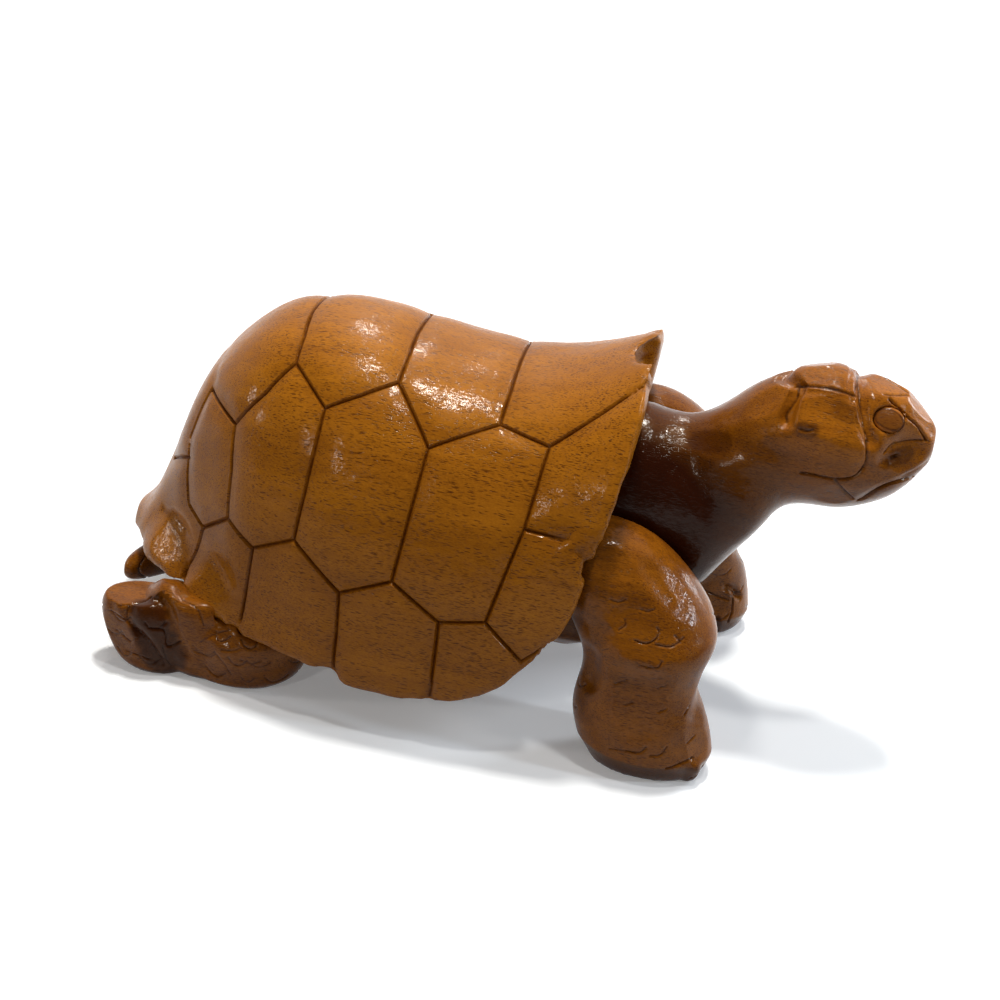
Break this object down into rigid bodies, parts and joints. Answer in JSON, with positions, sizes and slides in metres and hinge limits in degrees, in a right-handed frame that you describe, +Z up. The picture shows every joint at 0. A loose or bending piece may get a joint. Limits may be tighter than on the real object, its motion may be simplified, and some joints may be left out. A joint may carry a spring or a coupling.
{
  "type": "turtle figurine",
  "caption": "Carved hardwood figurine of a walking saddle-backed tortoise with raised head, arched shell and column-like front legs, glued up from dowelled pieces.",
  "frame": {"origin": "centre of the bounding box's footprint, on the plane the soles stand on", "axes": "+X the way the tortoise walks, from tail to head; +Y its left side; +Z up"},
  "size_m": [0.252, 0.1232, 0.127],
  "materials": {
    "shell_wood": "satin lacquered golden brown hardwood with dark pores and dark stained carving grooves",
    "body_wood": "gloss lacquered red-brown hardwood",
    "eye_wood": "satin lacquered pinkish brown hardwood",
    "dowel_wood": "plain turned hardwood"
  },
  "bodies": {
    "root": {"carapace": "shell_wood", "trunk": "body_wood", "head_and_neck": "body_wood", "right_front_leg": "body_wood", "left_front_leg": "body_wood", "right_hind_leg": "body_wood", "left_hind_leg": "body_wood", "tail": "body_wood", "right_eye": "eye_wood", "left_eye": "eye_wood", "neck_dowel": "dowel_wood", "tail_dowel": "dowel_wood", "rear_shell_dowel": "dowel_wood", "front_shell_dowel": "dowel_wood", "right_shoulder_dowel": "dowel_wood", "left_shoulder_dowel": "dowel_wood", "right_hip_dowel": "dowel_wood", "left_hip_dowel": "dowel_wood"}
  },
  "joints": []
}
